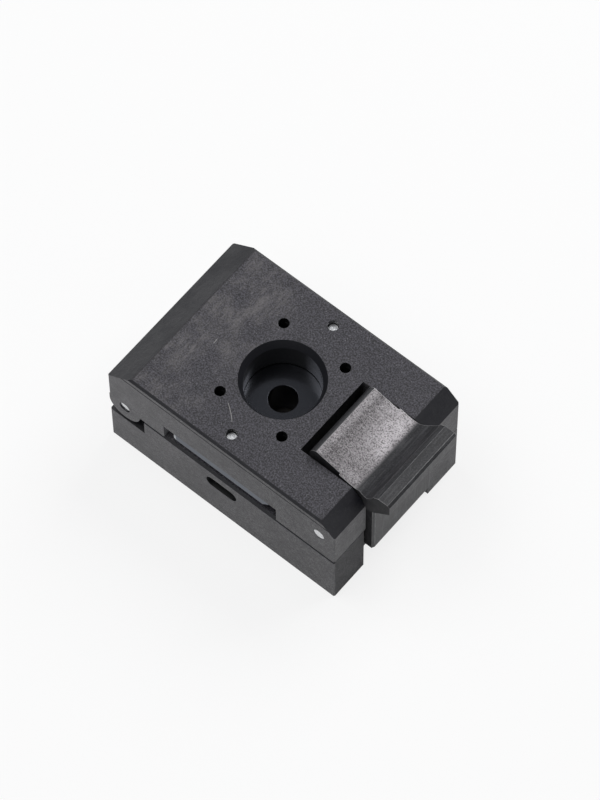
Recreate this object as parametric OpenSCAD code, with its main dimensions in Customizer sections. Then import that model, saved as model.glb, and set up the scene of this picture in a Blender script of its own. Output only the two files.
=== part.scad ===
// Flip-lid burn-in socket: a chip lies in a floating nest over spring probes,
// and a hinged lid with a hook latch presses it down.
// Millimetres. Origin at the centre of the seating face, +X from hinge to latch, +Z up.

/* [Base] */
// Length of base and lid, hinge end to latch end
base_l = 45; // [43:0.5:60]
// Width of base and lid
base_w = 30; // [29:0.5:40]
// Height of the base
base_h = 11.8; // [11.4:0.1:15]
// Edge break on the upright edges
edge_break = 0.2; // [0.1:0.05:0.6]
// Chamfer along the base's long top edges
base_edge = 0.4; // [0.2:0.1:0.6]
// Length of the slot in each side wall
side_slot_l = 6; // [4:0.5:10]
// Height of the slot in each side wall
side_slot_h = 2.5; // [1.5:0.1:2.6]
// Height of the slot's centre over the seating face
side_slot_z = 8.45; // [8.2:0.05:9]

/* [Lid] */
// Thickness of the lid
lid_h = 10.6; // [10:0.1:14]
// Gap between lid and base when closed
seam_gap = 0.2; // [0.1:0.05:0.3]
// Length of the large chamfer over the hinge
rear_chamfer_l = 4.7; // [2:0.1:7]
// Height of the large chamfer over the hinge
rear_chamfer_h = 3.6; // [2:0.1:5]
// Length of the chamfer on the front posts
front_chamfer_l = 2.8; // [1.5:0.1:3]
// Height of the chamfer on the front posts
front_chamfer_h = 2.6; // [1.5:0.1:3]
// Chamfer along both long top edges
top_edge = 0.4; // [0.2:0.1:1]
// Diameter of the bore over the press plate
bore_d = 12.3; // [8:0.1:12.8]
// Diameter of the bore's flared rim
bore_rim_d = 13.8; // [13:0.1:14.4]
// Depth of the flared rim
bore_rim_h = 1.4; // [0.6:0.1:2.5]
// Diameter of the four heat sink holes
sink_hole_d = 1.8; // [1.4:0.1:2.2]
// Heat sink hole spacing along the length
sink_pitch_x = 12.2; // [11.5:0.1:14]
// Heat sink hole spacing across the width
sink_pitch_y = 15.2; // [14.6:0.1:17]
// Depth of the heat sink holes
sink_hole_depth = 5; // [3:0.5:6.5]
// Length of the window along each side
window_l = 22.4; // [21:0.2:24]
// Height of the window
window_h = 3.4; // [3.2:0.1:4]
// How far the window's middle lies behind the bore
window_back = 0.2; // [0:0.1:0.6]

/* [Hinge] */
// Distance of the hinge pin from the rear face
hinge_inset = 3.1; // [2.8:0.1:3.6]
// Diameter of the hinge pin
hinge_pin_d = 2; // [1.5:0.1:2.4]
// Depth of the pin's end below the lid's side
hinge_pin_recess = 0.2; // [0.1:0.1:1]
// Outer radius of the lid's knuckles and the base's lugs
knuckle_r = 3.05; // [2.6:0.05:3.1]
// Width of each lid knuckle
knuckle_w = 7; // [6:0.5:8]
// Width of each base lug
lug_w = 3.5; // [2.5:0.1:4]
// Length of the rear notch in the base
notch_l = 7; // [6.6:0.1:8]
// Depth of the rear notch in the base
notch_depth = 3.8; // [3.6:0.1:4.5]
// Wire diameter of the hinge spring
hinge_wire_d = 0.5; // [0.3:0.05:0.6]

/* [Latch] */
// Width of the latch lever
latch_w = 14.6; // [12:0.2:16]
// How far plate end and arm are narrower on each side
latch_relief = 0.3; // [0.1:0.05:0.5]
// Gap on each side of the lever in the lid's slot
latch_side_gap = 0.2; // [0.1:0.05:0.4]
// Length of the latch slot from the lid's front
slot_l = 12.8; // [12.4:0.1:13.4]
// Depth of the latch slot under the lid's top
slot_depth = 5.3; // [4.8:0.1:5.6]
// Distance of the latch pin from the lid's front
pivot_inset = 3.05; // [2.8:0.05:3.3]
// Distance of the latch pin below the lid's top
pivot_drop = 4.65; // [4.4:0.05:5]
// Diameter of the latch pin
latch_pin_d = 2; // [1.5:0.1:2.2]
// Depth of the latch pin's ends below the lid's sides
latch_pin_recess = 0.05; // [0.05:0.05:0.5]
// Slope of the thumb plate
plate_tilt = 15.6; // [12:0.2:18]
// Length of the thumb plate along its slope
plate_l = 6.55; // [6.2:0.05:6.9]
// Height of the thumb plate's rear edge over the lid
plate_rise = 1.85; // [1.6:0.05:2.2]
// Radius of the thumb plate's rounded rear end
nose_r = 2.25; // [1.8:0.05:2.6]
// Radius of the finger hollow in front of the thumb plate
finger_r = 4.6; // [4.3:0.1:5]
// Height of the finger lip over the lid
lip_rise = 3.65; // [3.2:0.05:4]
// Length of the slope between hollow and lip
lip_slope_l = 0.95; // [0.4:0.05:1.2]
// Height of the slope between hollow and lip
lip_slope_h = 0.65; // [0.3:0.05:0.9]
// Length of the lip's flat top
lip_l = 1.75; // [1.4:0.05:2.4]
// Height of the lip's front end
lip_h = 2.45; // [1.8:0.05:3]
// Chamfer on the lip's front edge
lip_edge = 0.45; // [0.3:0.05:0.9]
// How far the lip is wider than the lever on each side
lip_overhang = 0.7; // [0.4:0.1:1]
// How far the arm stands proud of the base's front
arm_proud = 1.15; // [0.8:0.05:1.6]
// Thickness of the latch arm
arm_t = 1.7; // [1.4:0.1:1.8]
// Reach of the hook's tooth from the arm
hook_reach = 1.3; // [1:0.1:1.3]
// Height of the hook's tooth
hook_h = 1.9; // [1.6:0.1:2.2]
// Height of the base's ledge over the hook
ledge_h = 4.2; // [3.6:0.1:4.6]

/* [Press plate] */
// Length of the press plate
press_l = 18.8; // [18:0.2:20]
// Thickness of the press plate
press_t = 1.45; // [1.2:0.05:1.6]
// Height of the plate's round boss, which sits in a counterbore under the bore
press_boss_h = 1.05; // [0.6:0.05:1.4]
// Upward float of the press plate
press_float = 0.2; // [0.1:0.05:0.3]
// Side of the square pusher under the plate
pusher_w = 7; // [5:0.5:8]
// Diameter of the hole through plate and pusher
pusher_hole_d = 4.8; // [3:0.1:5]
// Distance between the two carrying screws
carrier_pitch = 24.2; // [23:0.1:24.6]
// Shank diameter of the carrying screws
carrier_d = 1.6; // [1.4:0.1:2]

/* [Nest and probes] */
// Side of the square chip body
chip_w = 8; // [6:0.5:8.5]
// Thickness of the chip body
chip_t = 0.85; // [0.6:0.05:1.2]
// Play of the chip in the nest, each side
chip_play = 0.05; // [0.03:0.01:0.1]
// Side of the square nest plate
nest_w = 17.6; // [17:0.2:18]
// Downward float of the nest
nest_float = 0.5; // [0.3:0.05:0.6]
// Number of probes along each side
probes_per_side = 6; // [3:1:7]
// Distance between neighbouring probes
probe_pitch = 1; // [0.8:0.05:1]
// Diameter of the probe barrels
barrel_d = 0.58; // [0.4:0.02:0.6]
// Diameter of the probe plungers
plunger_d = 0.36; // [0.2:0.02:0.36]
// Free reach of the lower plungers below the base
plunger_drop = 0.3; // [0.1:0.05:0.4]
// Length of both probe plates
probe_plate_l = 24; // [23.5:0.1:25]
// Width of both probe plates
probe_plate_w = 20; // [19.5:0.1:21]
// Thickness of the lower probe plate
lower_plate_t = 1.6; // [1.4:0.1:2]
// Thickness of the upper probe plate
upper_plate_t = 3.3; // [3:0.1:3.6]
// Thickness of the base's web over the probe plates
web_t = 1.6; // [1.4:0.1:1.8]

/* [Board fixing] */
// Distance of the board screws from the base's ends
board_inset_x = 4.5; // [3.5:0.1:5]
// Distance of the board screws from the base's sides
board_inset_y = 3; // [2.5:0.1:3.5]
// Core diameter of the tapped board holes
board_hole_d = 1.6; // [1.2:0.1:2.4]
// Depth of the tapped board holes
board_hole_depth = 6; // [4:0.5:6.5]
// Distance of the locating bores from the base's ends
locator_inset = 5.5; // [5:0.1:6.5]
// Diameter of the two locating bores
locator_d = 1.5; // [1:0.1:2]
// Depth of the two locating bores
locator_depth = 4; // [3:0.5:4.5]

/* [Hidden] */
$fn = 48;
// Clearances
cut = 1;
running = 0.05;
press_fit = 0.01;
slip = 0.1;
lug_gap = 0.3;
knuckle_room = 0.65;
notch_side = 0.6;
hook_gap = 0.15;
hook_room = 1.9;
hook_lift_gap = 0.2;
hook_floor_gap = 0.6;
// Levels and ends
front_x = base_l / 2;
rear_x = -base_l / 2;
side_y = base_w / 2;
lid_z = base_h + seam_gap;
lid_top = lid_z + lid_h;
window_z = lid_z + window_h;
window_rear_x = -window_l / 2 - window_back;
window_front_x = window_l / 2 - window_back;
hinge_x = rear_x + hinge_inset;
hinge_z = base_h + seam_gap / 2;
notch_z = base_h - notch_depth;
lug_out = side_y - knuckle_w - lug_gap;
lug_in = lug_out - lug_w;
// Hinge spring
hinge_coil_gap = 0.2;
hinge_coil_pitch = 1.12 * hinge_wire_d;
hinge_leg_l = 2.5;
hinge_coil_r = hinge_pin_d / 2 + hinge_coil_gap + hinge_wire_d / 2;
hinge_leg_end = rear_x + notch_l + hinge_leg_l;
hinge_leg_y = lug_in - lug_gap - hinge_wire_d / 2;
// Latch
slot_w = latch_w + 2 * latch_side_gap;
slot_z = lid_top - slot_depth;
boss_wall = 1.4;
boss_r = latch_pin_d / 2 + boss_wall;
boss_room = 0.55;
slot_through = pivot_inset + boss_r + boss_room;
pivot_x = front_x - pivot_inset;
pivot_z = lid_top - pivot_drop;
plate_gap = 2.65;
plate_rear = [front_x - slot_l + plate_gap, lid_top + plate_rise];
plate_front = plate_rear + plate_l * [cos(plate_tilt), -sin(plate_tilt)];
finger_c = plate_front + finger_r * [sin(plate_tilt), cos(plate_tilt)];
lip_z = lid_top + lip_rise;
finger_end_z = lip_z - lip_slope_h;
finger_end_x = finger_c[0] + sqrt(finger_r * finger_r - pow(finger_end_z - finger_c[1], 2));
lip_rear_x = finger_end_x + lip_slope_l;
lip_front_x = lip_rear_x + lip_l + lip_edge;
lip_w = latch_w + 2 * lip_overhang;
arm_x = front_x + arm_proud;
arm_in_x = arm_x - arm_t;
head_z = lip_z - lip_h - (lip_front_x - arm_x);
head_gap = 0.6;
head_slope = front_chamfer_h / front_chamfer_l;
head_low_x = front_x - front_chamfer_l + (lid_top + head_gap - head_z) / head_slope;
flare_rear = 1.5;
flare_l = 2;
flare_rear_x = front_x - flare_rear;
flare_front_x = flare_rear_x + flare_l;
flare_z = lid_top + head_gap - (front_chamfer_l - flare_rear) * head_slope;
nose_turn = 25;
nose_c = plate_rear + nose_r * [sin(nose_turn), -cos(nose_turn)];
lever_rear_x = nose_c[0] - nose_r;
lever_depth = 3;
lever_z = lid_top - lever_depth;
ledge_z = base_h - ledge_h;
hook_top = ledge_z - hook_lift_gap;
arm_z = hook_top - hook_h;
hook_tip_x = arm_in_x - hook_reach;
ledge_x = hook_tip_x - hook_gap;
latch_spring_d = 2.5;
latch_wire_d = 0.3;
latch_turns = 7;
latch_spring_inset = 2.3;
latch_spring_side = 3.1;
latch_floor_t = 1.2;
latch_seat_h = 1.6;
latch_spring_x = lever_rear_x + latch_spring_inset;
latch_spring_y = latch_w / 2 - latch_spring_side;
latch_spring_z = lid_z + latch_floor_t;
latch_spring_top = lever_z + latch_seat_h;
arm_edge = 0.35;
narrow = latch_w / 2 - latch_relief;
// Press plate
press_stop = 0.05;
press_boss_gap = 0.15;
press_boss_over = 0.2;
press_boss_r = bore_d / 2 + press_boss_over;
press_top = window_z - press_float - press_stop;
press_z = press_top - press_t;
press_boss_z = press_top + press_boss_h;
press_w = base_w - 2 * slip;
press_front_edge = 1.2;
press_rear_edge = 0.4;
carrier_low = 1;
carrier_end = lid_top - carrier_low;
carrier_head_d = 3.4;
carrier_head_h = 1;
carrier_hex = 1.5;
press_spring_x = 6.5;
press_spring_y = carrier_pitch / 2;
press_spring_d = 2;
press_wire_d = 0.25;
press_turns = 4;
press_seat_h = 3.6;
press_spring_top = window_z + press_seat_h;
// Nest and probes
web_z = lower_plate_t + upper_plate_t;
nest_room_z = web_z + web_t;
nest_z = nest_room_z + nest_float + slip;
nest_low = 0.6;
nest_top = base_h - nest_low;
nest_gap = 0.2;
nest_floor_t = 0.8;
seat_z = nest_z + nest_floor_t;
seat_w = chip_w + 2 * chip_play;
seat_wall = 1.5;
seat_flare = 1.1;
pusher_z = seat_z + chip_t;
island_edge = 0.7;
island_w = chip_w + 2 * island_edge;
island_z = nest_room_z - slip;
nest_screw_x = 7;
nest_screw_d = 1.6;
nest_head_d = 2.6;
nest_head_h = 1;
nest_head_low = 0.6;
nest_head_z = nest_top - nest_head_low - nest_head_h;
nest_hex = 1.3;
nest_spring_xy = 6.9;
nest_spring_d = 1.7;
nest_wire_d = 0.22;
nest_turns = 4;
nest_seat_h = 2.4;
nest_spring_top = nest_z + nest_seat_h;
ring_inset = 0.5;
ring_side = (probes_per_side - 1) * probe_pitch;
ring_half = chip_w / 2 - ring_inset;
barrel_cover = 0.55;
barrel_z = barrel_cover;
barrel_top = island_z - barrel_cover;
barrel_wall = 0.08;
tip_low = 0.15;
tip_z = seat_z - tip_low;
tip_cone = 0.2;
plunger_guide = 1.5;
lower_tail = plunger_guide + plunger_drop;
upper_tail = plunger_guide + nest_float;
plate_screw_inset_x = 1.6;
plate_screw_inset_y = 2;
plate_screw_x = probe_plate_l / 2 - plate_screw_inset_x;
plate_screw_y = probe_plate_w / 2 - plate_screw_inset_y;
plate_screw_d = 1.6;
plate_screw_bite = 3;
plate_screw_top = web_z + plate_screw_bite;
plate_head_d = 2.6;
plate_head_h = 0.8;
plate_head_low = 0.3;
plate_hex = 1.2;
hole_spare = 0.3;
dowel_d = 1.2;
dowel_low = 0.2;
dowel_bite = 1.3;
dowel_top = web_z + dowel_bite;
locator_x = base_l / 2 - locator_inset;

black = "#2b2c2e";
worn_black = "#4a4b4d";
amber = "#3a3226";
steel = "#b9bcc0";
gold = "#c9a64a";

// Helpers

function unit(v) = v / norm(v);

function chamfered(l, w, c) = [
  [-l / 2 + c, -w / 2],
  [l / 2 - c, -w / 2],
  [l / 2, -w / 2 + c],
  [l / 2, w / 2 - c],
  [l / 2 - c, w / 2],
  [-l / 2 + c, w / 2],
  [-l / 2, w / 2 - c],
  [-l / 2, -w / 2 + c],
];

// A box between two opposite corners
module between(low, high) {
  translate(low) cube(high - low);
}

// A profile in X and Z, extruded across the width
module across(width) {
  rotate([90, 0, 0]) linear_extrude(width, center = true) children();
}

// A round bar or hole across the width
module cross_bar(x, z, r, width) {
  translate([x, 0, z]) rotate([90, 0, 0]) cylinder(r = r, h = width, center = true);
}

// A round bar or hole along Z
module upright(at, r, low, high) {
  translate([at[0], at[1], low]) cylinder(r = r, h = high - low);
}

// A square prism on its edge, which breaks a straight edge along X
module edge_cut(length, c) {
  rotate([45, 0, 0]) cube([length, c * sqrt(2), c * sqrt(2)], center = true);
}

// A round wire along a path; ref is the axis that the path winds around
module wire(path, r, ref, sides) {
  last = len(path) - 1;
  points = [
    for (i = [0:last])
      let (
        along = unit(path[min(i + 1, last)] - path[max(i - 1, 0)]),
        side = unit(ref - (ref * along) * along),
        up = cross(along, side)
      )
        for (k = [0:sides - 1])
          path[i] + r * (cos(360 * k / sides) * side + sin(360 * k / sides) * up)
  ];
  walls = [
    for (i = [0:last - 1])
      for (k = [0:sides - 1])
        let (n = (k + 1) % sides, here = i * sides, next = here + sides)
          for (face = [[here + k, next + k, next + n], [here + k, next + n, here + n]])
            face
  ];
  start = [for (k = [0:sides - 1]) k];
  end = [for (k = [sides - 1:-1:0]) last * sides + k];
  polyhedron(points, concat([start], walls, [end]));
}

// A compression spring with closed ends, standing on z = 0
module spring(height, outer_d, wire_d, turns) {
  steps = 12;
  r = (outer_d - wire_d) / 2;
  active = turns - 1;
  path = [
    for (i = [0:turns * steps])
      let (turn = i / steps, climb = min(max((turn - 0.5) / active, 0), 1))
        [r * cos(360 * turn), r * sin(360 * turn), wire_d / 2 + climb * (height - wire_d)]
  ];
  wire(path, wire_d / 2, [0, 0, 1], 6);
}

// The children at four mirrored places
module four(x, y) {
  for (sx = [-1, 1])
    for (sy = [-1, 1])
      translate([sx * x, sy * y, 0]) children();
}

// The children at every probe of the square ring
module each_probe() {
  for (turn = [0:90:270])
    rotate(turn)
      for (i = [0:probes_per_side - 1])
        translate([i * probe_pitch - ring_side / 2, ring_half, 0]) children();
}

// Base

module lugs() {
  for (s = [-1, 1])
    translate([0, s * (lug_in + lug_out) / 2, 0]) {
      cross_bar(hinge_x, hinge_z, knuckle_r, lug_w);
      between([hinge_x - knuckle_r, -lug_w / 2, notch_z - cut], [hinge_x + knuckle_r, lug_w / 2, hinge_z]);
    }
}

module base_notches() {
  between([rear_x - cut, -side_y - cut, notch_z], [rear_x + notch_l, side_y + cut, base_h + cut]);
  half = latch_w / 2 + notch_side;
  between([ledge_x, -half, -cut], [front_x + cut, half, base_h + cut]);
  between([ledge_x - hook_room, -half, arm_z - hook_floor_gap], [ledge_x + cut, half, ledge_z]);
}

module side_slots() {
  for (s = [-1, 1])
    for (x = [0, 1])
      mirror([x, 0, 0])
        translate([0, s * (side_y + nest_w / 2) / 2, side_slot_z]) {
          depth = side_y - nest_w / 2 + cut;
          reach = side_slot_l / 2 - side_slot_h / 2;
          translate([reach, 0, 0]) rotate([90, 0, 0]) cylinder(d = side_slot_h, h = depth, center = true);
          translate([reach / 2, 0, 0]) cube([reach, depth, side_slot_h], center = true);
        }
}

module base() {
  room = nest_w / 2 + nest_gap;
  opening = island_w / 2 + slip;
  plate_x = probe_plate_l / 2 + slip;
  plate_y = probe_plate_w / 2 + slip;
  color(black) difference() {
    union() {
      difference() {
        linear_extrude(base_h) polygon(chamfered(base_l, base_w, edge_break));
        for (s = [-1, 1]) translate([0, s * side_y, base_h]) edge_cut(base_l + cut, base_edge);
        base_notches();
      }
      lugs();
    }
    between([-room, -room, nest_room_z], [room, room, base_h + cut]);
    between([-opening, -opening, web_z - cut], [opening, opening, nest_room_z + cut]);
    between([-plate_x, -plate_y, -cut], [plate_x, plate_y, web_z]);
    side_slots();
    cross_bar(hinge_x, hinge_z, hinge_pin_d / 2 + press_fit, base_w);
    four(front_x - board_inset_x, side_y - board_inset_y)
      upright([0, 0], board_hole_d / 2, -cut, board_hole_depth);
    for (s = [-1, 1]) upright([s * locator_x, 0], locator_d / 2, -cut, locator_depth);
    four(plate_screw_x, plate_screw_y)
      upright([0, 0], plate_screw_d / 2 + press_fit, 0, plate_screw_top + hole_spare);
    for (s = [-1, 1]) {
      upright([s * plate_screw_x, 0], dowel_d / 2 + press_fit, 0, dowel_top + hole_spare);
      upright([s * nest_screw_x, 0], nest_screw_d / 2 + press_fit, web_z - cut, nest_room_z + cut);
    }
    hinge_leg_grooves(base_side = true);
  }
}

// Lid

module lid_block() {
  intersection() {
    across(base_w) polygon([
      [rear_x, lid_z],
      [rear_x, lid_top - rear_chamfer_h],
      [rear_x + rear_chamfer_l, lid_top],
      [front_x - front_chamfer_l, lid_top],
      [front_x, lid_top - front_chamfer_h],
      [front_x, lid_z],
    ]);
    linear_extrude(lid_top + cut) polygon(chamfered(base_l, base_w, edge_break));
  }
}

module knuckles() {
  for (s = [-1, 1])
    translate([0, s * (side_y - knuckle_w / 2), 0]) {
      cross_bar(hinge_x, hinge_z, knuckle_r, knuckle_w);
      translate([hinge_x, 0, hinge_z])
        between([-knuckle_r, -knuckle_w / 2, 0], [knuckle_r, knuckle_w / 2, seam_gap + cut]);
    }
}

// Room for the base's lugs and the hinge spring, open to the rear and below
module hinge_room() {
  r = knuckle_r + knuckle_room;
  width = 2 * (side_y - knuckle_w);
  cross_bar(hinge_x, hinge_z, r, width);
  translate([0, 0, hinge_z]) between([rear_x - cut, -width / 2, -r], [hinge_x, width / 2, r]);
}

module latch_slot() {
  between([front_x - slot_l, -slot_w / 2, slot_z], [front_x + cut, slot_w / 2, lid_top + cut]);
  between([front_x - slot_through, -slot_w / 2, lid_z - cut], [front_x + cut, slot_w / 2, lid_top + cut]);
  for (s = [-1, 1])
    upright([latch_spring_x, s * latch_spring_y], latch_spring_d / 2 + slip, latch_spring_z, slot_z + cut);
}

module lid() {
  color(black) difference() {
    union() {
      lid_block();
      knuckles();
    }
    for (s = [-1, 1]) translate([0, s * side_y, lid_top]) edge_cut(base_l + cut, top_edge);
    hinge_room();
    latch_slot();
    between([window_rear_x, -side_y - cut, lid_z - cut], [window_front_x, side_y + cut, window_z]);
    upright([0, 0], bore_d / 2, window_z - cut, lid_top + cut);
    upright([0, 0], press_boss_r + press_boss_gap, window_z - cut, window_z + press_boss_h);
    translate([0, 0, lid_top - bore_rim_h]) cylinder(d1 = bore_d, d2 = bore_rim_d, h = bore_rim_h);
    four(sink_pitch_x / 2, sink_pitch_y / 2)
      upright([0, 0], sink_hole_d / 2, lid_top - sink_hole_depth, lid_top + cut);
    for (s = [-1, 1])
      upright([0, s * carrier_pitch / 2], carrier_d / 2 + slip, window_z - cut, lid_top + cut);
    four(press_spring_x, press_spring_y)
      upright([0, 0], press_spring_d / 2 + slip, window_z - cut, press_spring_top);
    cross_bar(hinge_x, hinge_z, hinge_pin_d / 2 + running, base_w + cut);
    cross_bar(pivot_x, pivot_z, latch_pin_d / 2 + press_fit, base_w + cut);
    hinge_leg_grooves(base_side = false);
  }
}

// Latch

module latch_profile() {
  polygon([
    [lever_rear_x, lever_z],
    [lever_rear_x, nose_c[1]],
    [plate_rear[0], nose_c[1]],
    plate_rear,
    plate_front,
    [finger_end_x, finger_end_z],
    [lip_rear_x, lip_z],
    [lip_front_x - lip_edge, lip_z],
    [lip_front_x, lip_z - lip_edge],
    [lip_front_x, lip_z - lip_h],
    [arm_x, head_z],
    [arm_x, arm_z + arm_edge],
    [arm_x - arm_edge, arm_z],
    [arm_in_x, arm_z],
    [hook_tip_x, arm_z + hook_h / 2],
    [hook_tip_x, hook_top],
    [arm_in_x, hook_top],
    [arm_in_x, pivot_z],
    [pivot_x - boss_r, pivot_z],
    [pivot_x - boss_r, lever_z],
  ]);
}

// The rounded rear end of the thumb plate
module nose() {
  intersection() {
    cross_bar(nose_c[0], nose_c[1], nose_r, latch_w);
    between([lever_rear_x - cut, -latch_w, nose_c[1]], [plate_rear[0], latch_w, plate_rear[1] + cut]);
  }
}

// The wide head that carries the finger lip, its underside parallel to the posts' chamfer
module latch_head() {
  intersection() {
    across(lip_w) latch_profile();
    across(lip_w + cut) polygon([
      [flare_rear_x, flare_z],
      [flare_rear_x, lip_z + cut],
      [lip_front_x + cut, lip_z + cut],
      [lip_front_x + cut, head_z],
      [head_low_x, head_z],
    ]);
    linear_extrude(lip_z + cut) polygon([
      [flare_rear_x, -latch_w / 2],
      [flare_front_x, -lip_w / 2],
      [lip_front_x + cut, -lip_w / 2],
      [lip_front_x + cut, lip_w / 2],
      [flare_front_x, lip_w / 2],
      [flare_rear_x, latch_w / 2],
    ]);
  }
}

// What the lever is narrower by behind its pin, along its arm and at its hook
module lever_relief() {
  for (s = [0, 1])
    mirror([0, s, 0]) {
      between([lever_rear_x - cut, narrow, lever_z - cut], [pivot_x - boss_r, latch_w, lip_z + cut]);
      between([arm_in_x, narrow, arm_z - cut], [arm_x + cut, latch_w, head_z]);
      between([hook_tip_x - cut, narrow, arm_z - cut], [arm_x, latch_w, hook_top + hook_lift_gap]);
      translate([arm_x, narrow, arm_z - cut])
        linear_extrude(head_z - arm_z + cut) rotate(45) square(arm_edge * sqrt(2), center = true);
    }
}

module latch() {
  color(worn_black) difference() {
    union() {
      difference() {
        union() {
          across(latch_w) latch_profile();
          cross_bar(pivot_x, pivot_z, boss_r, latch_w);
          nose();
        }
        lever_relief();
      }
      latch_head();
    }
    cross_bar(finger_c[0], finger_c[1], finger_r, lip_w + cut);
    cross_bar(pivot_x, pivot_z, latch_pin_d / 2 + running, latch_w + cut);
    for (s = [-1, 1])
      upright([latch_spring_x, s * latch_spring_y], latch_spring_d / 2 + slip, lever_z - cut, latch_spring_top);
  }
}

// Pins and springs

module hinge_pin() {
  color(steel) cross_bar(hinge_x, hinge_z, hinge_pin_d / 2, base_w - 2 * hinge_pin_recess);
}

module latch_pin() {
  color(steel) cross_bar(pivot_x, pivot_z, latch_pin_d / 2, base_w - 2 * latch_pin_recess);
}

// Grooves for the spring's legs: the lower one in the base, the upper one in the lid
module hinge_leg_grooves(base_side) {
  r = hinge_wire_d / 2 + slip;
  if (base_side)
    translate([0, -hinge_leg_y, 0])
      between([hinge_x, -r, hinge_z - hinge_coil_r - r], [hinge_leg_end + slip, r, base_h + cut]);
  else
    translate([0, hinge_leg_y, 0])
      between([hinge_x, -r, lid_z - cut], [hinge_leg_end + slip, r, hinge_z + hinge_coil_r + r]);
}

// Torsion spring: in along the base, round the pin, out along the lid
module hinge_spring() {
  steps = 14;
  turns = floor(2 * hinge_leg_y / hinge_coil_pitch) - 0.5;
  coil = [
    for (i = [0:turns * steps])
      let (turn = i / steps, angle = -90 - 360 * turn)
        [hinge_x + hinge_coil_r * cos(angle), -hinge_leg_y + 2 * hinge_leg_y * turn / turns,
          hinge_z + hinge_coil_r * sin(angle)]
  ];
  path = concat(
    [[hinge_leg_end, -hinge_leg_y, hinge_z - hinge_coil_r]],
    coil,
    [[hinge_leg_end, hinge_leg_y, hinge_z + hinge_coil_r]]
  );
  color(steel) wire(path, hinge_wire_d / 2, [0, 1, 0], 6);
}

module latch_springs() {
  color(steel)
    for (s = [-1, 1])
      translate([latch_spring_x, s * latch_spring_y, latch_spring_z])
        spring(latch_spring_top - latch_spring_z, latch_spring_d, latch_wire_d, latch_turns);
}

module press_plate_springs() {
  color(steel)
    four(press_spring_x, press_spring_y)
      translate([0, 0, press_top])
        spring(press_spring_top - press_top, press_spring_d, press_wire_d, press_turns);
}

module nest_springs() {
  color(steel)
    four(nest_spring_xy, nest_spring_xy)
      translate([0, 0, nest_room_z])
        spring(nest_spring_top - nest_room_z, nest_spring_d, nest_wire_d, nest_turns);
}

// Press plate

module press_plate() {
  half = press_l / 2;
  color(black) difference() {
    union() {
      across(press_w) polygon([
        [-half, press_top],
        [half, press_top],
        [half, press_z + press_front_edge],
        [half - press_front_edge, press_z],
        [-half + press_rear_edge, press_z],
        [-half, press_z + press_rear_edge],
      ]);
      translate([0, 0, pusher_z])
        linear_extrude(press_z - pusher_z + cut) polygon(chamfered(pusher_w, pusher_w, edge_break));
      upright([0, 0], press_boss_r, press_z + press_t / 2, press_boss_z);
    }
    upright([0, 0], pusher_hole_d / 2, pusher_z - cut, press_boss_z + cut);
    for (s = [-1, 1])
      upright([0, s * carrier_pitch / 2], carrier_d / 2 + 2 * slip, press_z - cut, press_top + cut);
  }
}

module press_plate_screws() {
  color(steel)
    for (s = [-1, 1])
      difference() {
        union() {
          upright([0, s * carrier_pitch / 2], carrier_d / 2, press_z - carrier_head_h, carrier_end);
          upright([0, s * carrier_pitch / 2], carrier_head_d / 2, press_z - carrier_head_h, press_z);
        }
        translate([0, s * carrier_pitch / 2, press_z - carrier_head_h - cut])
          cylinder(d = carrier_hex, h = cut + carrier_head_h / 2, $fn = 6);
      }
}

// Nest

module nest() {
  flare = min(nest_top - seat_z - seat_wall, seat_flare);
  color(amber) difference() {
    translate([0, 0, nest_z])
      linear_extrude(nest_top - nest_z) polygon(chamfered(nest_w, nest_w, edge_break));
    between([-seat_w / 2, -seat_w / 2, seat_z], [seat_w / 2, seat_w / 2, nest_top + cut]);
    for (turn = [0:90:270])
      rotate(turn)
        translate([seat_w / 2, 0, nest_top])
          rotate([0, 0, 90]) edge_cut(seat_w, flare);
    each_probe() upright([0, 0], plunger_d / 2 + slip, nest_z - cut, seat_z + cut);
    for (s = [-1, 1]) {
      upright([s * nest_screw_x, 0], nest_screw_d / 2 + slip, nest_z - cut, nest_top);
      upright([s * nest_screw_x, 0], nest_head_d / 2 + slip, nest_head_z, nest_top + cut);
    }
    four(nest_spring_xy, nest_spring_xy)
      upright([0, 0], nest_spring_d / 2 + slip, nest_z - cut, nest_spring_top);
  }
}

module nest_screws() {
  head_top = nest_head_z + nest_head_h;
  color(steel)
    for (s = [-1, 1])
      difference() {
        union() {
          upright([s * nest_screw_x, 0], nest_screw_d / 2, web_z + slip, nest_head_z);
          upright([s * nest_screw_x, 0], nest_head_d / 2, nest_head_z, head_top);
        }
        translate([s * nest_screw_x, 0, head_top - nest_head_h / 2]) cylinder(d = nest_hex, h = cut, $fn = 6);
      }
}

// Spring probes and their plates

module upper_probe_plate() {
  color(amber) difference() {
    union() {
      translate([0, 0, lower_plate_t])
        linear_extrude(upper_plate_t) polygon(chamfered(probe_plate_l, probe_plate_w, edge_break));
      translate([0, 0, lower_plate_t])
        linear_extrude(island_z - lower_plate_t) polygon(chamfered(island_w, island_w, edge_break));
    }
    each_probe() {
      upright([0, 0], barrel_d / 2 + running, lower_plate_t - cut, barrel_top + running);
      upright([0, 0], plunger_d / 2 + running, lower_plate_t, island_z + cut);
    }
    four(plate_screw_x, plate_screw_y)
      upright([0, 0], plate_screw_d / 2 + slip, lower_plate_t - cut, web_z + cut);
    for (s = [-1, 1])
      upright([s * plate_screw_x, 0], dowel_d / 2 + press_fit, lower_plate_t - cut, web_z + cut);
  }
}

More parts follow.
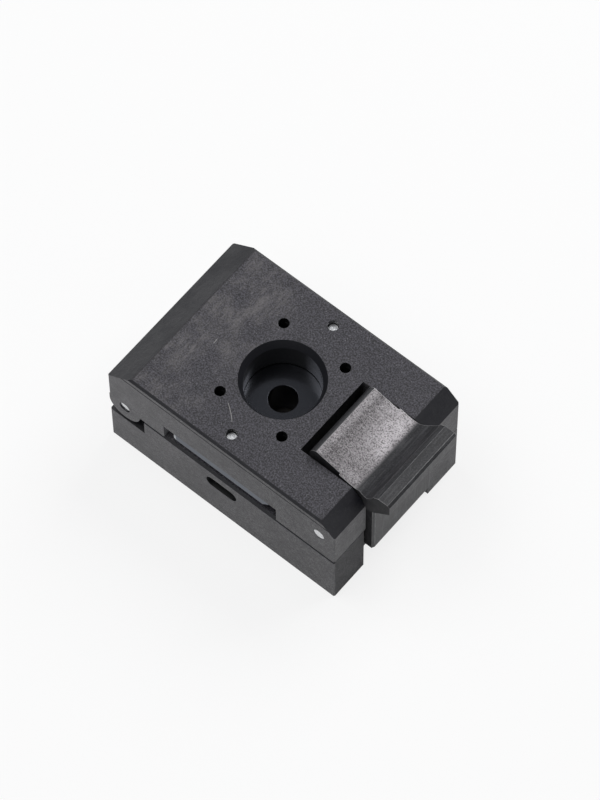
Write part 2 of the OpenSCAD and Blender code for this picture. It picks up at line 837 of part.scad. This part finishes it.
module lower_probe_plate() {
  color(amber) difference() {
    linear_extrude(lower_plate_t) polygon(chamfered(probe_plate_l, probe_plate_w, edge_break));
    each_probe() {
      upright([0, 0], barrel_d / 2 + running, barrel_z - running, lower_plate_t + cut);
      upright([0, 0], plunger_d / 2 + running, -cut, lower_plate_t);
    }
    four(plate_screw_x, plate_screw_y) {
      upright([0, 0], plate_screw_d / 2 + slip, -cut, lower_plate_t + cut);
      upright([0, 0], plate_head_d / 2 + slip, -cut, plate_head_low + plate_head_h);
    }
    for (s = [-1, 1])
      upright([s * plate_screw_x, 0], dowel_d / 2 + press_fit, -cut, lower_plate_t + cut);
  }
}

module probe_plate_screws() {
  color(steel)
    four(plate_screw_x, plate_screw_y)
      difference() {
        union() {
          upright([0, 0], plate_screw_d / 2, plate_head_low, plate_screw_top);
          upright([0, 0], plate_head_d / 2, plate_head_low, plate_head_low + plate_head_h);
        }
        translate([0, 0, plate_head_low - cut]) cylinder(d = plate_hex, h = cut + plate_head_h / 2, $fn = 6);
      }
}

module probe_plate_dowels() {
  color(steel)
    for (s = [-1, 1]) upright([s * plate_screw_x, 0], dowel_d / 2, dowel_low, dowel_top);
}

module probe_barrels() {
  color(gold)
    each_probe()
      difference() {
        upright([0, 0], barrel_d / 2, barrel_z, barrel_top);
        upright([0, 0], barrel_d / 2 - barrel_wall, barrel_z - cut, barrel_top + cut);
      }
}

// Plungers are turned pins with a short cone at the contact end
module plunger(low, high) {
  r = plunger_d / 2;
  rotate_extrude() polygon([[0, low], [r, low], [r, high - tip_cone], [r / 3, high], [0, high]]);
}

module upper_plungers() {
  color(gold) each_probe() plunger(barrel_top - upper_tail, tip_z);
}

module lower_plungers() {
  color(gold)
    each_probe()
      translate([0, 0, barrel_z + lower_tail]) mirror([0, 0, 1]) plunger(0, barrel_z + lower_tail);
}

base();
lid();
latch();
hinge_pin();
latch_pin();
hinge_spring();
latch_springs();
press_plate();
press_plate_screws();
press_plate_springs();
nest();
nest_screws();
nest_springs();
upper_probe_plate();
lower_probe_plate();
probe_plate_screws();
probe_plate_dowels();
probe_barrels();
upper_plungers();
lower_plungers();
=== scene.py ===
"""Dresses the burn-in socket: black milled plastic, worn latch, steel pins and springs, gold probes."""
import math

import bpy
from mathutils import Matrix, Vector


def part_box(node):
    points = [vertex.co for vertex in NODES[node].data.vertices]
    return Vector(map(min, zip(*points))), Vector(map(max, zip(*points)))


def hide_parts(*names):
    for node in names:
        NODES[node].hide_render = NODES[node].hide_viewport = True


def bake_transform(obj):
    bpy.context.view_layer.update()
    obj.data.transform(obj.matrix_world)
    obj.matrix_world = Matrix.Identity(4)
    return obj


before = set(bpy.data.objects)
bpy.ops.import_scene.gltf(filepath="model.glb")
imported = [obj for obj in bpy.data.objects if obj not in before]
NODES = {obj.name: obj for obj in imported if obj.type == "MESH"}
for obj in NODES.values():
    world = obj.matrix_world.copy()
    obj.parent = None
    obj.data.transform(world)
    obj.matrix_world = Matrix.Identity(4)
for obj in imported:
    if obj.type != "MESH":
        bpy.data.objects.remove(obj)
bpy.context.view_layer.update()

MM = 0.001

# Places on the socket, in millimetres
BASE_TOP = 11.8
LID_TOP = 22.6
HALF_WIDTH = 15.0
TOP_REAR_X = -17.6
BORE_MOUTH_R = 7.0
LINE_BELOW_TOP = 1.35
BOSS_FOOT = 15.5
THUMB_REAR_X = 12.8
THUMB_FRONT_X = 21.0

BEVEL_SAMPLES = 6


# Finishes

class Value:
    """A socket of a finish. Arithmetic on it adds Math nodes, and | takes the greater of two."""

    def __init__(self, finish, socket):
        self.finish = finish
        self.socket = socket

    def math(self, operation, *others):
        return self.finish.node("Math", {"operation": operation}, dict(enumerate((self,) + others)))

    def __add__(self, other):
        return self.math("ADD", other)

    def __sub__(self, other):
        return self.math("SUBTRACT", other)

    def __rsub__(self, other):
        return self.finish.node("Math", {"operation": "SUBTRACT"}, {0: other, 1: self})

    def __mul__(self, other):
        return self.math("MULTIPLY", other)

    def __or__(self, other):
        return self.math("MAXIMUM", other)

    __radd__ = __add__
    __rmul__ = __mul__

    def size(self):
        return self.math("ABSOLUTE")

    def between(self, low, high):
        """0 below low, 1 above high, smooth in between; a high under the low turns it round."""
        inputs = {"Value": self, "From Min": min(low, high), "From Max": max(low, high)}
        step = self.finish.node("MapRange", {"interpolation_type": "SMOOTHSTEP"}, inputs)
        return step if low < high else 1.0 - step


class Finish:
    """The nodes of one material."""

    def __init__(self, name):
        self.material = bpy.data.materials.new(name)
        self.material.use_nodes = True
        self.tree = self.material.node_tree
        self.tree.nodes.clear()

    def node(self, kind, settings=None, inputs=None, out=0):
        """A new node with its settings and its inputs, as the Value of its output out."""
        node = self.tree.nodes.new("ShaderNode" + kind)
        for key, value in (settings or {}).items():
            setattr(node, key, value)
        for key, value in (inputs or {}).items():
            socket = self.socket(node.inputs, key)
            if isinstance(value, Value):
                self.tree.links.new(value.socket, socket)
            else:
                socket.default_value = value
        return Value(self, self.socket(node.outputs, out)) if node.outputs else None

    @staticmethod
    def socket(sockets, key):
        """The socket with this number, identifier or name."""
        if isinstance(key, int):
            return sockets[key]
        for socket in sockets:
            if socket.identifier == key:
                return socket
        return sockets[key]

    def mix(self, first, second, amount):
        """The first colour, turned into the second by amount."""
        first, second = (c if isinstance(c, Value) else c + (1.0,) for c in (first, second))
        inputs = {"Factor_Float": amount, "A_Color": first, "B_Color": second}
        return self.node("Mix", {"data_type": "RGBA"}, inputs, "Result_Color")

    def place(self, stretch=(1.0, 1.0, 1.0)):
        """The place on the piece in millimetres, each way times stretch."""
        at = self.node("TexCoord", out="Object")
        scale = tuple(s / MM for s in stretch)
        return self.node("VectorMath", {"operation": "MULTIPLY"}, {0: at, 1: scale})

    def parts(self, vector):
        """The three parts of a vector."""
        node = self.node("SeparateXYZ", None, {0: vector}).socket.node
        return [Value(self, node.outputs[i]) for i in range(3)]

    def facing(self):
        """The three parts of the direction that the face looks in, in the piece's own frame."""
        return self.parts(self.node("TexCoord", out="Normal"))

    def noise(self, scale, detail=3.0, stretch=(1.0, 1.0, 1.0), rough=0.55):
        """Smooth noise around 0.5, with scale waves in a millimetre."""
        inputs = {"Vector": self.place(stretch), "Scale": scale, "Detail": detail, "Roughness": rough}
        return self.node("TexNoise", None, inputs, "Fac")

    def specks(self, scale, share, reach):
        """Small spots in a share of the cells of a pattern, reach of a cell wide."""
        inputs = {"Vector": self.place(), "Scale": scale}
        far = self.node("TexVoronoi", None, inputs, "Distance")
        draw = self.node("TexVoronoi", None, inputs, "Color")
        lot = self.node("SeparateColor", None, {0: draw})
        return far.between(reach, reach * 0.5) * lot.between(1.0 - share, 1.0 - share * 0.6)

    def rounded(self, radius):
        """The direction of the face as if its edges were rounded, radius in millimetres."""
        return self.node("Bevel", {"samples": BEVEL_SAMPLES}, {"Radius": radius * MM})

    def sharp_edge(self, radius):
        """0 on a flat face, more towards a sharp edge."""
        inputs = {0: self.rounded(radius), 1: self.node("NewGeometry", out="Normal")}
        return 1.0 - self.node("VectorMath", {"operation": "DOT_PRODUCT"}, inputs, "Value")

    def finish(self, colour, rough, height, depth, edge, **shader):
        """Joins it all in one shader; depth of the bump and radius of the edge are in millimetres."""
        bump = {"Distance": depth * MM, "Strength": 1.0, "Height": height}
        if edge:
            bump["Normal"] = self.rounded(edge)
        normal = self.node("Bump", None, bump)
        inputs = {"Base Color": colour, "Roughness": rough, "Normal": normal, **shader}
        surface = self.node("BsdfPrincipled", None, inputs)
        self.node("OutputMaterial", None, {"Surface": surface})
        return self.material


def scratch(x, y, start, end, width, bow=0.0):
    """A thin line on the top from start to end, bowed sideways, in millimetres."""
    way = Vector(end) - Vector(start)
    along = way.normalized()
    length = way.length
    u = (x - start[0]) * along.x + (y - start[1]) * along.y
    v = (y - start[1]) * along.x - (x - start[0]) * along.y - u * (length - u) * bow
    return v.size().between(width, width * 0.4) * u.between(0.0, 0.3) * u.between(length, length - 0.8)


def milled_black(name, top_z, edge_tone, marks_and_painted_light):
    """Black fibre-filled plastic: smooth where milled, dull grey and grainy on the sanded face at top_z.

    edge_tone is the tone of its sloping edges. The last argument is how much it has of the lid's own marks
    and painted light: a thin dark line along its sides, window ends painted pale as painted light, scratches
    and a dark rear edge.
    """
    f = Finish(name)
    nx, ny, nz = f.facing()
    x, y, z = f.parts(f.place())

    # Faces
    sanded = z.between(top_z - 0.05, top_z - 0.02) * nz.between(0.9, 0.98)
    side = nz.size().between(0.3, 0.1)
    slant = nz.between(0.45, 0.55) * nz.between(0.95, 0.85)
    flank = side * ny.size().between(0.8, 0.9)
    forward = nx.between(0.8, 0.9)
    line_z = top_z - LINE_BELOW_TOP
    # A thin dark line along the flanks at line_z, where the bump gives a small ledge.
    side_line = flank * (z - line_z).size().between(0.22, 0.12)
    ledge = flank * z.between(line_z - 0.2, line_z + 0.15)
    # The windows' rear end faces, painted pale below: painted light, as if lit.
    painted_light_jamb = forward * y.size().between(12.5, 13.0) * x.between(-8.0, -9.0)
    # The base's front face left of the latch, painted darker below: painted shade.
    painted_shade_post = forward * y.between(-6.0, -7.0) * z.between(BASE_TOP + 0.2, BASE_TOP - 0.3)
    rear_edge = x.between(TOP_REAR_X + 0.1, TOP_REAR_X - 0.1)
    # The base's inside, painted nearly black below: painted shade.
    inside = y.size().between(HALF_WIDTH - 0.01, HALF_WIDTH - 0.06) * x.size().between(13.0, 12.0)
    inside = inside * z.between(BASE_TOP - 0.5, BASE_TOP - 0.7) * z.between(0.02, 0.1)

    # Bore and small holes, by the square of the distance from the bore's axis
    out = x * x + y * y
    bore = out.between(BORE_MOUTH_R ** 2 + 0.5, BORE_MOUTH_R ** 2 - 0.5) * nz.between(0.9, 0.7)
    wall = bore * nz.between(0.4, 0.2)
    holes = side * out.between(51.0, 55.0) * out.between(150.0, 140.0) * z.between(16.0, 17.0)
    # A zone of the bore's wall, all but its right side and the lower part of its far left, made matt and
    # painted darker: partly a matt finish, partly painted shade.
    across = 0.77 * x + 0.64 * y
    left_edge = across.between(-5.7, -3.6) | z.between(17.8, 20.0) * 0.75
    matt_and_painted_shade = wall * left_edge * across.between(5.4, 2.7)

    # Textures
    grain = f.noise(3.8, rough=0.7)
    fine = f.noise(6.5, rough=0.7)
    coarse = f.noise(2.7, rough=0.85)
    fleck = (0.4 * coarse + 0.6 * fine).between(0.46, 0.6)
    pale = f.specks(2.2, 0.4, 0.3)
    lines = f.noise(1.0, 2.0, (0.12, 0.12, 4.0))
    mottle = f.noise(0.7, 5.0, rough=0.7).between(0.3, 0.7)
    cloud = f.noise(0.13).between(0.35, 0.65)
    wipes = f.noise(1.0, 4.0, (1.8, 0.5, 1.0), 0.65).between(0.36, 0.66)
    haze = f.noise(0.2, 5.0, rough=0.65).between(0.36, 0.62) * x.between(-3.0, -11.0)
    haze = haze * (0.2 + 0.8 * wipes)
    marks = scratch(x, y, (-3.95, -8.3), (-1.1, -10.65), width=0.06, bow=0.03)
    marks = marks | scratch(x, y, (-12.15, -2.0), (-12.25, -0.6), width=0.07)
    # Pale edges: partly wear, partly painted highlight.
    edge_wear_and_highlight = (f.sharp_edge(0.09) * 5.0).between(0.15, 1.0) * f.noise(0.9).between(0.35, 0.65)

    # Colour of the sanded face, then of the whole
    dull = f.mix((0.002, 0.0018, 0.004), (0.062, 0.059, 0.073), grain.between(0.41, 0.6))
    dull = f.mix(dull, (0.12, 0.115, 0.13), fine.between(0.5, 0.74) * (0.2 + 0.45 * cloud))
    dull = f.mix(dull, (0.19, 0.178, 0.178), haze * 0.42)
    dull = f.mix(dull, (0.24, 0.235, 0.25), pale * 0.3)
    dull = f.mix(dull, (0.45, 0.44, 0.43), marks * (0.75 * marks_and_painted_light))
    dull = f.mix(dull, (0.008, 0.008, 0.01), rear_edge * (0.9 * marks_and_painted_light))
    colour = f.mix((0.009, 0.009, 0.011), (0.024, 0.024, 0.028), grain.between(0.35, 0.65))
    # Side faces painted lighter, more so towards the rear: painted light.
    colour = f.mix(colour, (0.092, 0.09, 0.096), side * (0.35 + 0.55 * x.between(20.0, -20.0)))
    colour = f.mix(colour, (0.21, 0.205, 0.215), side * fleck * (0.4 + 0.3 * cloud))
    colour = f.mix(colour, (0.002, 0.002, 0.003), side_line * marks_and_painted_light)
    # Painted light: the windows' rear end faces pale.
    colour = f.mix(colour, (0.22, 0.22, 0.23), painted_light_jamb * marks_and_painted_light)
    colour = f.mix(colour, (0.05, 0.05, 0.054), side * lines.between(0.5, 0.8) * 0.4)
    colour = f.mix(colour, (edge_tone, edge_tone, edge_tone + 0.004), slant * (0.4 + 0.6 * mottle))
    colour = f.mix(colour, dull, sanded)
    colour = f.mix(colour, (0.016, 0.0166, 0.0205), bore)
    # Painted shade on that zone of the bore's wall.
    colour = f.mix(colour, (0.0105, 0.0113, 0.0135), matt_and_painted_shade)
    # Painted shade: the base's inside and the walls of the small holes, nearly black.
    colour = f.mix(colour, (0.003, 0.0035, 0.004), inside | holes)
    # Painted shade on the base's front face left of the latch.
    colour = f.mix(colour, (0.012, 0.012, 0.014), painted_shade_post * 0.55)
    # Pale edges: partly wear, partly painted highlight.
    colour = f.mix(colour, (0.19, 0.19, 0.195), edge_wear_and_highlight * 0.6)

    rough = 0.38 + 0.18 * grain + 0.18 * sanded + 0.12 * side * mottle + 0.16 * slant * (cloud - 0.3)
    rough = rough - 0.12 * bore - 0.12 * wall + 0.45 * matt_and_painted_shade + 0.2 * painted_shade_post
    height = grain * (0.12 + 0.15 * sanded + 0.5 * side) + fine * 0.12 + coarse * side * 0.7
    height = height - ledge * marks_and_painted_light * 5.0 + lines * side * 0.5 + mottle * (0.3 * side + 0.5 * slant)
    height = height * (1.0 - 0.95 * bore)
    return f.finish(colour, rough, height, 0.05, 0.08, **{"Specular IOR Level": 0.55})


def worn_black(name):
    """The latch: black plastic, polished under the thumb with a painted highlight there, streaky on its lip,
    pale on its edges from wear and painted highlight, with painted shade on its end faces.
    """
    f = Finish(name)
    nx, ny, nz = f.facing()
    x, y, z = f.parts(f.place())

    # Faces
    plate = nx.between(-0.2, 0.02) * nx.between(0.45, 0.35) * nz.between(0.8, 0.9)
    plate = plate * x.between(THUMB_FRONT_X + 0.5, THUMB_FRONT_X - 0.5)
    nose = nx.between(-0.85, -0.42) * x.between(THUMB_REAR_X + 0.4, THUMB_REAR_X - 0.2)
    above = nz.between(0.2, 0.5)
    side = nz.size().between(0.3, 0.1)
    # End faces, painted darker below: painted shade.
    end = ny.size().between(0.7, 0.9)
    # Where the thumb plate is painted brighter: a painted highlight towards the front and the +y side, and
    # along its rear edge.
    painted_highlight_zone = x.between(THUMB_REAR_X, THUMB_REAR_X + 5.7) * (0.35 + 0.65 * y.between(-7.0, 3.0))
    painted_highlight_zone = painted_highlight_zone | x.between(THUMB_REAR_X + 1.2, THUMB_REAR_X) * 0.45

    # Textures
    grain = f.noise(4.2, rough=0.7)
    fine = f.noise(4.2, rough=0.75)
    streaks = f.noise(1.0, 4.0, (0.5, 3.4, 0.5), 0.65)
    lay = f.noise(1.0, 3.0, (3.0, 0.22, 3.0))
    runs = f.noise(1.0, 3.0, (2.4, 2.4, 0.3))
    pits = f.specks(4.2, 0.55, 0.36)
    rubbed = f.noise(0.28).between(0.3, 0.7)
    mottle = f.noise(0.9, 4.0, rough=0.7).between(0.36, 0.64)
    patchy = f.noise(0.8).between(0.35, 0.65)
    edge_wear_and_highlight = (f.sharp_edge(0.15) * 18.0).between(0.1, 0.9) * (0.5 + 0.5 * patchy)

    # Colour of the thumb plate, then of the whole
    # The thumb plate: polished, with the painted highlight laid over it.
    polish_and_highlight = f.mix((0.11, 0.103, 0.108), (0.50, 0.475, 0.495), painted_highlight_zone * (0.45 + 0.55 * rubbed))
    polish_and_highlight = f.mix(polish_and_highlight, (0.42, 0.41, 0.42), streaks.between(0.45, 0.72) * 0.3)
    polish_and_highlight = f.mix(polish_and_highlight, (0.5, 0.48, 0.49), fine.between(0.48, 0.32) * 0.35)
    polish_and_highlight = f.mix(polish_and_highlight, (0.022, 0.019, 0.02), fine.between(0.48, 0.62) * 0.75)
    polish_and_highlight = f.mix(polish_and_highlight, (0.03, 0.028, 0.028), pits * 0.35)
    colour = f.mix((0.010, 0.010, 0.0118), (0.030, 0.030, 0.034), grain.between(0.35, 0.65))
    colour = f.mix(colour, (0.065, 0.065, 0.07), fine.between(0.48, 0.72) * 0.4)
    colour = f.mix(colour, (0.09, 0.09, 0.095), lay.between(0.5, 0.7) * above * 0.36)
    colour = f.mix(colour, (0.004, 0.004, 0.005), lay.between(0.48, 0.32) * above * 0.45)
    colour = f.mix(colour, (0.09, 0.09, 0.095), runs.between(0.45, 0.7) * side * 0.5)
    colour = f.mix(colour, (0.10, 0.10, 0.105), nose * nose * 0.4)
    colour = f.mix(colour, polish_and_highlight, plate)
    # Pale edges away from the end faces: partly wear, partly painted highlight.
    colour = f.mix(colour, (0.45, 0.45, 0.455), edge_wear_and_highlight * (1.0 - end) * 0.7)
    # Painted shade on the end faces, which sit in the narrow gaps beside the posts.
    colour = f.mix(colour, (0.004, 0.004, 0.006), end * (0.55 + 0.45 * mottle))

    rough = 0.40 + 0.15 * grain - 0.10 * plate + 0.2 * end + 0.25 * end * z.between(21.0, 20.0)
    height = grain * (0.15 + 0.2 * side) + fine * (0.12 + 0.2 * side) + streaks * plate * 0.2
    height = height + lay * above * (1.0 - plate) * 0.2 + runs * side * 0.3
    return f.finish(colour, rough, height, 0.05, 0.12, Metallic=plate * 0.6, **{"Specular IOR Level": 0.5})


def dark_anodised(name):
    """The press plate: blue-grey anodised metal with fine cutter lines, its boss smooth, dark and glossy,
    its rear end painted pale as a painted highlight, its edges pale from wear and painted highlight.
    """
    f = Finish(name)
    x, y, z = f.parts(f.place())
    out = x * x + y * y
    boss = out.between(42.0, 41.0) * z.between(BOSS_FOOT, BOSS_FOOT + 0.1) | out.between(7.5, 7.0)
    # The rear end, painted pale below: a painted highlight.
    rear_end_highlight = x.between(-8.95, -9.1) * z.between(15.1, 15.0)
    grain = f.noise(6.0)
    lines = f.noise(1.0, 2.0, (0.2, 6.0, 0.2))
    edge_wear_and_highlight = (f.sharp_edge(0.08) * 5.0).between(0.1, 1.0)
    colour = f.mix((0.08, 0.09, 0.112), (0.15, 0.168, 0.205), grain * 0.6 + lines * 0.4)
    # Painted highlight on the rear end.
    colour = f.mix(colour, (0.5, 0.52, 0.55), rear_end_highlight)
    # Pale edges: partly wear, partly painted highlight.
    colour = f.mix(colour, (0.3, 0.31, 0.33), edge_wear_and_highlight * 0.5)
    colour = f.mix(colour, (0.086, 0.09, 0.104), boss)
    rough = 0.36 + 0.14 * grain - 0.27 * boss
    height = (grain * 0.4 + lines * 0.6) * (1.0 - 0.9 * boss)
    return f.finish(colour, rough, height, 0.008, 0.06, Metallic=0.35 + 0.6 * boss)


def filled_plastic(name, dark, light):
    """Plastic of the nest and the probe plates: even, with fine filler and cutter lines."""
    f = Finish(name)
    grain = f.noise(6.0, 4.0)
    filler = f.specks(5.0, 0.5, 0.36)
    lines = f.noise(1.0, 2.0, (5.0, 0.2, 0.2))
    colour = f.mix(dark, light, grain.between(0.3, 0.7))
    colour = f.mix(colour, tuple(c * 1.7 for c in light), filler * 0.35)
    colour = f.mix(colour, dark, lines.between(0.5, 0.8) * 0.3)
    rough = 0.45 + 0.15 * grain
    return f.finish(colour, rough, grain * 0.5 + lines * 0.4, 0.008, 0.05)


def ground_steel(name, dark, light, lay, rough_low):
    """Bare steel with fine lines along lay and small dull spots."""
    f = Finish(name)
    lines = f.noise(1.0, 3.0, lay)
    spots = f.noise(2.2, 4.0).between(0.5, 0.75)
    colour = f.mix(dark, light, lines.between(0.3, 0.7))
    colour = f.mix(colour, tuple(c * 0.45 for c in dark), spots * 0.5)
    rough = rough_low + 0.18 * lines + 0.2 * spots
    return f.finish(colour, rough, lines * 0.7 + spots * 0.3, 0.01, 0.05, Metallic=1.0)


def gold_plate(name):
    """Gold plating of the probes, a little uneven."""
    f = Finish(name)
    tarnish = f.noise(3.0, 4.0)
    lines = f.noise(1.0, 2.0, (4.0, 4.0, 12.0))
    colour = f.mix((0.62, 0.42, 0.14), (0.88, 0.68, 0.30), tarnish.between(0.3, 0.7))
    rough = 0.22 + 0.16 * lines
    return f.finish(colour, rough, lines, 0.004, 0.0, Metallic=1.0)


# Springs

def wire(name, path, radius, axis, finish, sides=12):
    """A round wire along path, which winds around axis; all in metres."""
    axis = Vector(axis)
    last = len(path) - 1
    verts = []
    for i, point in enumerate(path):
        along = (path[min(i + 1, last)] - path[max(i - 1, 0)]).normalized()
        out = (axis - axis.dot(along) * along).normalized()
        up = along.cross(out)
        for k in range(sides):
            turn = math.tau * k / sides
            verts.append(point + radius * (math.cos(turn) * out + math.sin(turn) * up))
    faces = []
    for i in range(last):
        for k in range(sides):
            n = (k + 1) % sides
            here, there = i * sides, (i + 1) * sides
            faces.append((here + k, here + n, there + n, there + k))
    faces.append(tuple(range(sides - 1, -1, -1)))
    faces.append(tuple(last * sides + k for k in range(sides)))
    mesh = bpy.data.meshes.new(name)
    mesh.from_pydata(verts, [], faces)
    mesh.polygons.foreach_set("use_smooth", [len(f) == 4 for f in faces])
    mesh.materials.append(finish)
    piece = bpy.data.objects.new(name, mesh)
    bpy.context.scene.collection.objects.link(piece)
    return piece


def coil_path(centre, low, high, mean_r, thick, turns, steps=28):
    """A compression spring's middle line, with half a closed turn at each end."""
    path = []
    for i in range(turns * steps + 1):
        turn = i / steps
        climb = min(max((turn - 0.5) / (turns - 1), 0.0), 1.0)
        angle = math.tau * turn
        x = centre[0] + mean_r * math.cos(angle)
        y = centre[1] + mean_r * math.sin(angle)
        z = low + thick / 2 + climb * (high - low - thick)
        path.append(Vector((x, y, z)))
    return path


def compression_springs(node, finish, outer_d, wire_d, turns):
    """The node's springs as smooth wire, each stretched between the two pieces that it stands on."""
    low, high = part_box(node)
    outer = outer_d / 2 * MM
    thick = wire_d * MM
    xs = {round(low[0] + outer, 6), round(high[0] - outer, 6)}
    ys = {round(low[1] + outer, 6), round(high[1] - outer, 6)}
    pieces = []
    for x in sorted(xs):
        for y in sorted(ys):
            path = coil_path((x, y), low[2], high[2], outer - thick / 2, thick, turns)
            piece = wire(f"{node}_{len(pieces) + 1}", path, thick / 2, (0, 0, 1), finish)
            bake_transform(piece)
            pieces.append(piece)
    for piece in pieces:
        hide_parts(node)


def hinge_spring(finish, wire_d, pitch=1.12, steps=32, leg_steps=8):
    """The torsion spring: one leg on the base, the coil round the hinge pin, one leg on the lid.

    pitch is the least distance from turn to turn, in wire diameters.
    """
    low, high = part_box("hinge_spring")
    pin_low, pin_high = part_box("hinge_pin")
    thick = wire_d * MM
    x = (pin_low[0] + pin_high[0]) / 2
    z = (pin_low[2] + pin_high[2]) / 2
    r = (high[2] - low[2] - thick) / 2
    y = (high[1] - low[1] - thick) / 2
    turns = math.floor(2 * y / (pitch * thick)) - 0.5
    path = []
    for i in range(leg_steps):
        path.append(Vector((high[0] + (x - high[0]) * i / leg_steps, -y, z - r)))
    for i in range(int(turns * steps) + 1):
        turn = i / steps
        angle = -math.pi / 2 - math.tau * turn
        at_y = -y + 2 * y * turn / turns
        path.append(Vector((x + r * math.cos(angle), at_y, z + r * math.sin(angle))))
    for i in range(1, leg_steps + 1):
        path.append(Vector((x + (high[0] - x) * i / leg_steps, y, z + r)))
    piece = wire("hinge_spring_wire", path, thick / 2, (0, 1, 0), finish, sides=14)
    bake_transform(piece)
    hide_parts("hinge_spring")


# Studio, in metres

def floor(reach=2.2, backdrop_h=0.35, sides=32):
    """A wide pale floor with a low backdrop round it, near white to the eye, with a faint shadow."""
    f = Finish("pale_floor")
    eye = f.node("LightPath", out="Is Camera Ray")
    rays = eye.socket.node.outputs
    mirrored = Value(f, rays["Is Glossy Ray"]) | Value(f, rays["Is Transmission Ray"])
    seen = eye * 0.8 + mirrored * 0.35
    dull = f.node("BsdfDiffuse", None, {"Color": (0.88, 0.88, 0.88, 1.0)})
    white = f.node("Emission", None, {"Color": (1.0, 1.0, 1.0, 1.0), "Strength": 1.0})
    surface = f.node("MixShader", None, {0: seen, 1: dull, 2: white})
    f.node("OutputMaterial", None, {"Surface": surface})
    just_below = -0.00002
    angles = [math.tau * k / sides for k in range(sides)]
    ring = [(reach * math.cos(angle), reach * math.sin(angle)) for angle in angles]
    verts = [(x, y, z) for z in (just_below, backdrop_h) for x, y in ring]
    walls = [(k, (k + 1) % sides, sides + (k + 1) % sides, sides + k) for k in range(sides)]
    mesh = bpy.data.meshes.new("floor")
    mesh.from_pydata(verts, [], [tuple(range(sides))] + walls)
    mesh.materials.append(f.material)
    piece = bpy.data.objects.new("floor", mesh)
    bpy.context.scene.collection.objects.link(piece)


def studio_world():
    """A dim even room."""
    world = bpy.data.worlds.new("studio")
    bpy.context.scene.world = world
    world.use_nodes = True
    room = world.node_tree.nodes["Background"]
    room.inputs["Color"].default_value = (0.95, 0.97, 1.0, 1.0)
    room.inputs["Strength"].default_value = 0.21


def softbox(name, direction, distance, size, radiance):
    """A square lamp that looks at the middle of the socket; radiance is its brightness as seen."""
    middle = Vector((0, 0, 0.012))
    lamp = bpy.data.lights.new(name, "AREA")
    lamp.shape = "SQUARE"
    lamp.size = size
    lamp.energy = radiance * math.pi * size * size
    piece = bpy.data.objects.new(name, lamp)
    way = Vector(direction).normalized()
    piece.location = middle + way * distance
    piece.rotation_euler = way.to_track_quat("Z", "Y").to_euler()
    bpy.context.scene.collection.objects.link(piece)


def camera():
    """The photograph's view, fitted to the socket's corners and holes."""
    lens = bpy.data.cameras.new("camera")
    lens.sensor_fit = "VERTICAL"
    lens.sensor_height = 36.0
    lens.lens = 205.4546
    place = Vector((211.072, -245.886, 637.161)) * MM
    right = Vector((0.770331, 0.637623, -0.005203))
    up = Vector((-0.563527, 0.684586, 0.462363))
    turn = Matrix((right, up, right.cross(up))).transposed().to_4x4()
    piece = bpy.data.objects.new("camera", lens)
    piece.matrix_world = Matrix.Translation(place) @ turn
    bpy.context.scene.collection.objects.link(piece)
    bpy.context.scene.camera = piece


def dress(finish, *names):
    """Gives the finish to the nodes with these names."""
    for name in names:
        for slot in NODES[name].material_slots:
            slot.material = finish


camera()
floor()
studio_world()
softbox("overhead_softbox", (0.12, 0.68, 0.72), distance=0.75, size=0.47, radiance=4.6)
softbox("rear_softbox", (-0.455, -0.1, 0.887), distance=0.8, size=0.45, radiance=2.7)
softbox("left_softbox", (-0.12, -0.42, 0.90), distance=0.9, size=0.5, radiance=2.4)

dress(milled_black("base_milled_black", BASE_TOP, edge_tone=0.012, marks_and_painted_light=0.0), "base")
dress(milled_black("lid_milled_black", LID_TOP, edge_tone=0.008, marks_and_painted_light=0.8), "lid")
dress(worn_black("latch_worn_black"), "latch")
dress(dark_anodised("press_plate_anodised"), "press_plate")
dress(filled_plastic("nest_plastic", (0.035, 0.032, 0.03), (0.06, 0.055, 0.05)), "nest")
dress(
    filled_plastic("probe_plate_plastic", (0.05, 0.043, 0.034), (0.085, 0.075, 0.06)),
    "upper_probe_plate", "lower_probe_plate",
)
dress(
    ground_steel("pin_steel", (0.72, 0.73, 0.75), (0.88, 0.89, 0.9), lay=(6.0, 0.3, 6.0), rough_low=0.12),
    "hinge_pin", "latch_pin", "probe_plate_dowels",
)
dress(
    ground_steel("screw_steel", (0.62, 0.63, 0.65), (0.84, 0.85, 0.87), lay=(3.0, 3.0, 0.5), rough_low=0.24),
    "press_plate_screws", "nest_screws", "probe_plate_screws",
)
spring_steel = ground_steel(
    "spring_steel", (0.38, 0.39, 0.41), (0.60, 0.61, 0.63), lay=(2.0, 2.0, 2.0), rough_low=0.24
)
dress(gold_plate("probe_gold"), "probe_barrels", "upper_plungers", "lower_plungers")

hinge_spring(spring_steel, wire_d=0.5)
compression_springs("latch_springs", spring_steel, outer_d=2.5, wire_d=0.3, turns=7)
compression_springs(
    "press_plate_springs", spring_steel, outer_d=2.0, wire_d=0.25, turns=4
)
compression_springs("nest_springs", spring_steel, outer_d=1.7, wire_d=0.22, turns=4)

bpy.context.scene.view_settings.view_transform = "Standard"
